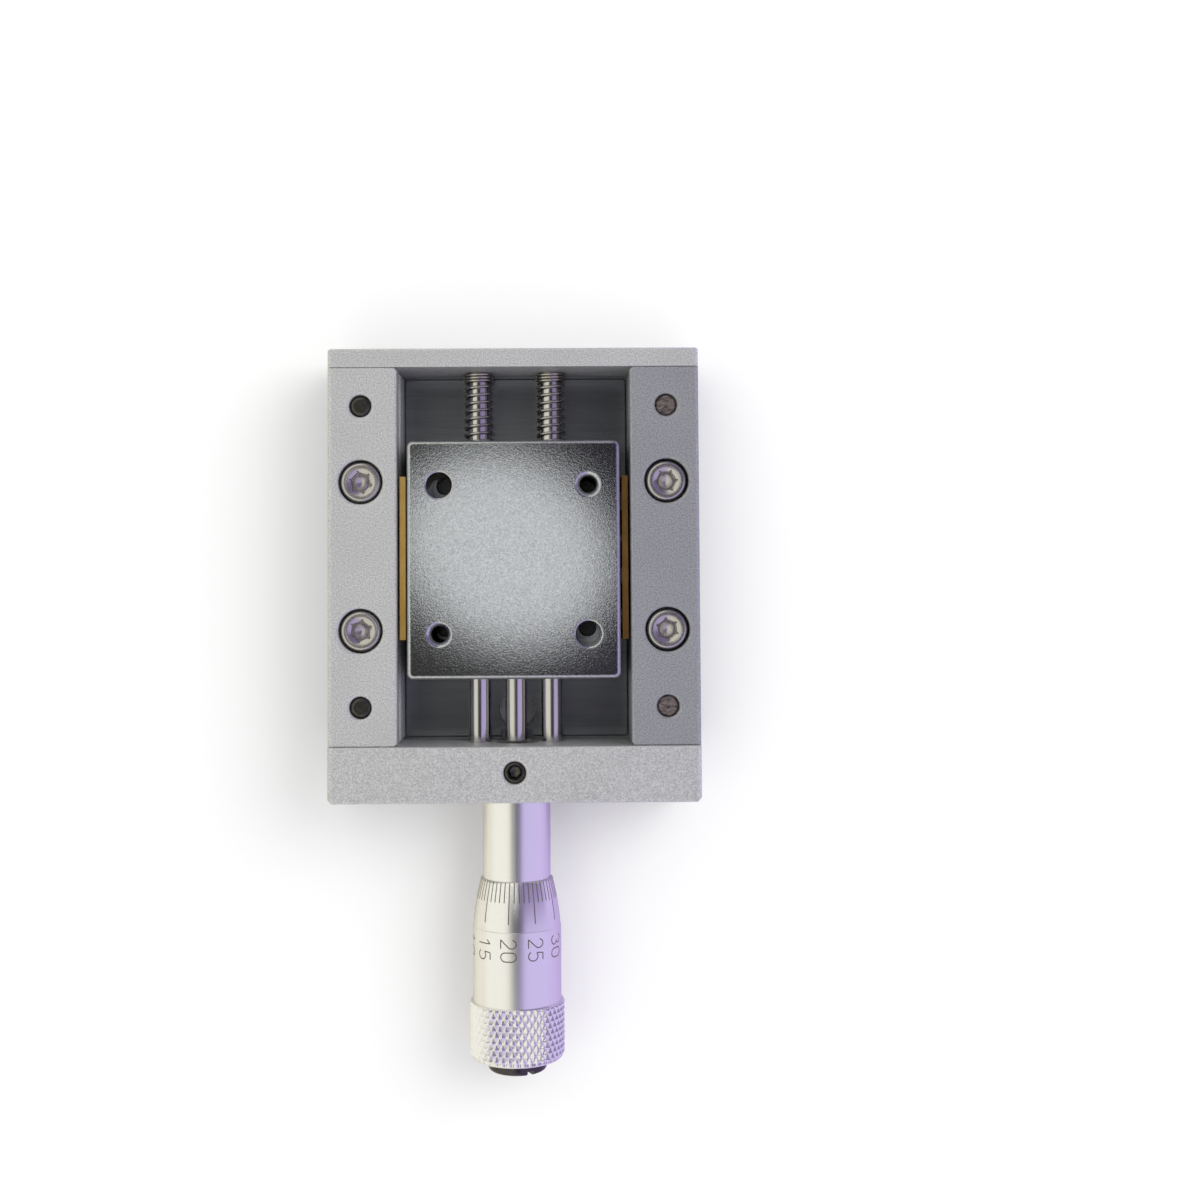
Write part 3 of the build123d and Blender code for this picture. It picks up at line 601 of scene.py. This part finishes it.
twenty_at = math.radians(-9.5)
division = math.radians(7.2)
line_width = 0.15
long_line, short_line = 5.4, 2.65
digit_height = 2.15
digit_width = 1.2
digit_step = 1.72
digits_at = 19.85
stroke_step = 0.12
paint_skin, paint_foot = 0.008, -0.03
wear_size = 0.3 * mm


def paint_surface(tree):
    """Filling paint: dull, and worn to slightly different depths of brown."""
    place = add(tree, "ShaderNodeTexCoord").outputs["Object"]
    wear = add(tree, "ShaderNodeTexNoise", {"Vector": place, "Scale": 1 / wear_size, "Detail": 2.0})
    tone = add(tree, "ShaderNodeMix", {0: wear.outputs[0], 6: linear("#3A3431"),
                                       7: linear("#6B625D")}, data_type="RGBA")
    return {"Base Color": tone.outputs[2], "Roughness": 0.6}


paint = finish("engraving_paint", paint_surface)


def arc(centre, size, start, stop):
    """Points of an ellipse arc between two angles in degrees."""
    angle = np.radians(np.linspace(start, stop, 15))
    return np.stack((centre[0] + size[0] * np.cos(angle), centre[1] + size[1] * np.sin(angle)), -1)


def digit_strokes(digit):
    """One numeral as pen strokes in a box 1 wide and 1 high, as an engraver's template gives it."""
    strokes = {
        "0": [np.vstack((arc((0.5, 0.7), (0.5, 0.3), 0, 180), arc((0.5, 0.3), (0.5, 0.3), 180, 360),
                         [(1, 0.7)]))],
        "1": [np.array([(0.15, 0.76), (0.6, 1.0), (0.6, 0.0)])],
        "2": [np.vstack((arc((0.5, 0.7), (0.48, 0.3), 170, -38), [(0.0, 0.0), (1.0, 0.0)]))],
        "3": [np.vstack((arc((0.45, 0.75), (0.48, 0.25), 160, -78),
                         arc((0.48, 0.27), (0.52, 0.27), 82, -160)))],
        "4": [np.array([(0.72, 0.0), (0.72, 1.0), (0.0, 0.28), (1.0, 0.28)])],
        "5": [np.vstack(([(0.92, 1.0), (0.14, 1.0), (0.06, 0.56)],
                         arc((0.46, 0.32), (0.52, 0.32), 132, -150)))],
    }
    return strokes[digit]


def engraved(paths, radius_at):
    """Filled strokes on the head: each path, in distance and arc at the barrel, is cut to short
    even steps, widened to both sides along its own normal and given a skin just proud of the
    metal and a foot just under it."""
    points, faces = [], []
    for path, angle in paths:
        walked = np.concatenate(([0], np.cumsum(np.linalg.norm(np.diff(path, axis=0), axis=1))))
        steps = np.linspace(0, walked[-1], max(int(walked[-1] / stroke_step), 2))
        path = np.stack([np.interp(steps, walked, part) for part in path.T], -1)
        ahead = np.gradient(path, axis=0)
        ahead /= np.linalg.norm(ahead, axis=1)[:, None]
        normal = np.stack((-ahead[:, 1], ahead[:, 0]), -1) * line_width / 2
        edges = np.stack((path + normal, path - normal, path - normal, path + normal), 1)
        rise = np.array([paint_skin, paint_skin, paint_foot, paint_foot])
        radius = radius_at(edges[..., 0])
        placed = on_head(edges[..., 0], angle + edges[..., 1] / barrel_radius, radius + rise)
        rows, base = len(path), sum(len(p) for p in points)
        ends = [[0, 1, 2, 3], [4 * rows - 1, 4 * rows - 2, 4 * rows - 3, 4 * rows - 4]]
        faces += [[v + base for v in face] for face in ring_faces(rows, 4) + ends]
        points.append(placed.reshape(-1, 3))
    return np.concatenate(points), faces


thimble_paths = []
for number in range(50):
    angle = twenty_at + (number - 20) * division
    reach = long_line if number % 5 == 0 else short_line
    along = np.linspace(lip_at + 0.06, lip_at + reach, 9)
    thimble_paths.append((np.stack((along, np.zeros(9)), -1), angle))
    if number % 5 == 0:
        text = str(number)
        start = digits_at - (digit_width + (len(text) - 1) * digit_step) / 2
        for place, digit in enumerate(text):
            for stroke in digit_strokes(digit):
                along = start + place * digit_step + stroke[:, 0] * digit_width
                across = (stroke[:, 1] - 0.5) * digit_height
                thimble_paths.append((np.stack((along, across), -1), angle))
points, faces = engraved(thimble_paths, nose_radius)
make_piece("thimble_scale", points, faces, paint, "thimble", smooth=30)

datum_at = twenty_at + 18 * division
sleeve_radius = 4.65
datum_line = np.linspace(3.9, 17.4, 9)
first_tick, tick_step, tick_count = 4.0, 0.5, 27
five_tick, whole_tick, half_tick = 2.0, 1.3, -1.0
sleeve_paths = [(np.stack((datum_line, np.zeros(9)), -1), datum_at)]
for half in range(tick_count):
    reach = five_tick if half % 10 == 0 else whole_tick if half % 2 == 0 else half_tick
    across = np.linspace(0, reach, 5) * barrel_radius / sleeve_radius
    tick_at = np.full(5, first_tick + half * tick_step)
    sleeve_paths.append((np.stack((tick_at, across), -1), datum_at))
points, faces = engraved(sleeve_paths, lambda along: np.full(np.shape(along), sleeve_radius))
make_piece("sleeve_scale", points, faces, paint, "base", smooth=30)


# End cap: steel, polished and black chromed, with a coin slot. It screws into the spindle and
# holds the thimble on it.

smear_size = 1.5 * mm


def cap_surface(tree):
    """Black chrome: a dark mirror, with faint smears in its gloss."""
    place = add(tree, "ShaderNodeTexCoord").outputs["Object"]
    smear = add(tree, "ShaderNodeTexNoise", {"Vector": place, "Scale": 1 / smear_size, "Detail": 3.0})
    rough = add(tree, "ShaderNodeMapRange", {"Value": smear.outputs[0], "To Min": 0.08, "To Max": 0.2})
    return {"Base Color": linear("#4B494A"), "Metallic": 1.0, "Roughness": rough.outputs[0]}


dress(finish("black_chrome", cap_surface), "thimble_cap")


# Studio: the stage lies on a plain white table in a pale room. Metal mirrors its walls, warm on
# the left and violet on the right, but the light that they give is white. The ceiling over the
# camera is dark, with a lamp beside the camera and a window at the right that metal doesn't mirror.

table_half = 4
table_height = -0.05 * mm
overhead = math.radians(18)
warm_wall = "#FFFDF2"
violet_wall = "#D8CAFB"
dim_corner = "#8D80AC"

table = bpy.data.meshes.new("table")
signs = ((-1, -1), (1, -1), (1, 1), (-1, 1))
corners = [(x * table_half, y * table_half, table_height) for x, y in signs]
table.from_pydata(corners, [], [[0, 1, 2, 3]])
table_top = bpy.data.objects.new("table", table)
bpy.context.scene.collection.objects.link(table_top)


def table_surface(tree):
    """White laminate, dull. Glossy rays see it in painted wall light, warm on the left half and violet
    on the right.
    """
    place = add(tree, "ShaderNodeTexCoord").outputs["Object"]
    across = add(tree, "ShaderNodeSeparateXYZ", {0: place})
    side = add(tree, "ShaderNodeMapRange", {"Value": across.outputs[0], "From Min": -0.01,
                                            "From Max": 0.01})
    # Painted reflection of the walls' light: warm on the left, violet on the right, seen only by glossy
    # rays.
    tint = add(tree, "ShaderNodeMix", {0: side.outputs[0], 6: linear("#EFEADA"),
                                       7: linear("#CBB8EC")}, data_type="RGBA")
    ray = add(tree, "ShaderNodeLightPath")
    colour = add(tree, "ShaderNodeMix", {0: ray.outputs["Is Glossy Ray"], 6: linear("#FBFBFB"),
                                         7: tint.outputs[2]}, data_type="RGBA")
    return {"Base Color": colour.outputs[2], "Roughness": 0.7, "Specular IOR Level": 0.2}


table.materials.append(finish("white_laminate", table_surface))

world = bpy.data.worlds.new("pale_room")
bpy.context.scene.world = world
world.use_nodes = True
room = world.node_tree
room.nodes.clear()
towards = add(room, "ShaderNodeTexCoord").outputs["Generated"]
across = add(room, "ShaderNodeSeparateXYZ", {0: towards})
back = add(room, "ShaderNodeMapRange", {"Value": across.outputs[1], "From Min": -0.1,
                                        "From Max": 0.2}, interpolation_type="SMOOTHSTEP")
right = add(room, "ShaderNodeMix", {0: back.outputs[0], 6: linear(violet_wall),
                                    7: linear(dim_corner)}, data_type="RGBA")
side = add(room, "ShaderNodeMapRange", {"Value": across.outputs[0], "From Min": -0.12,
                                        "From Max": 0.12}, interpolation_type="SMOOTHSTEP")
walls = add(room, "ShaderNodeMix", {0: side.outputs[0], 6: linear(warm_wall), 7: right.outputs[2]},
            data_type="RGBA")
ray = add(room, "ShaderNodeLightPath")
tint = add(room, "ShaderNodeMix", {0: ray.outputs["Is Diffuse Ray"], 6: walls.outputs[2],
                                   7: linear("#FFFFFF")}, data_type="RGBA")
height = add(room, "ShaderNodeMapRange", {"Value": across.outputs[2],
                                          "From Min": math.cos(overhead * 1.4),
                                          "From Max": math.cos(overhead * 0.5), "To Min": 1.0,
                                          "To Max": 0.06}, interpolation_type="SMOOTHSTEP")
glow = add(room, "ShaderNodeBackground", {"Color": tint.outputs[2], "Strength": height.outputs[0]})
add(room, "ShaderNodeOutputWorld", {"Surface": glow.outputs[0]})


def lamp(name, where, target, size, power, mirrored):
    """A soft elliptical lamp that faces a point, and whether metal mirrors it."""
    data = bpy.data.lights.new(name, "AREA")
    data.shape = "ELLIPSE"
    data.size, data.size_y = size
    data.energy = power
    made = bpy.data.objects.new(name, data)
    bpy.context.scene.collection.objects.link(made)
    made.visible_camera = False
    made.visible_glossy = mirrored
    made.location = where
    made.rotation_mode = "QUATERNION"
    made.rotation_quaternion = (Vector(target) - Vector(where)).to_track_quat("-Z", "Y")


lamp("camera_lamp", (-0.009, 0.005, 0.225), (0, 0, 0), (0.05, 0.06), 0.0068, True)
lamp("window", (0.42, 0.2, 0.5), (0, -0.01, 0), (0.5, 0.5), 1.6, False)

camera_data = bpy.data.cameras.new("camera")
camera_data.sensor_width = 36
camera_data.lens = 46.826
camera_data.shift_x = 0.016667
camera_data.shift_y = -0.066667
camera_data.clip_start = 0.01
camera = bpy.data.objects.new("camera", camera_data)
bpy.context.scene.collection.objects.link(camera)
camera.location = (0.0067986, -0.0034561, 0.2245363)
camera.rotation_euler = (0.0391, -0.0099, -0.0062)
bpy.context.scene.camera = camera

bpy.context.scene.view_settings.view_transform = "Standard"
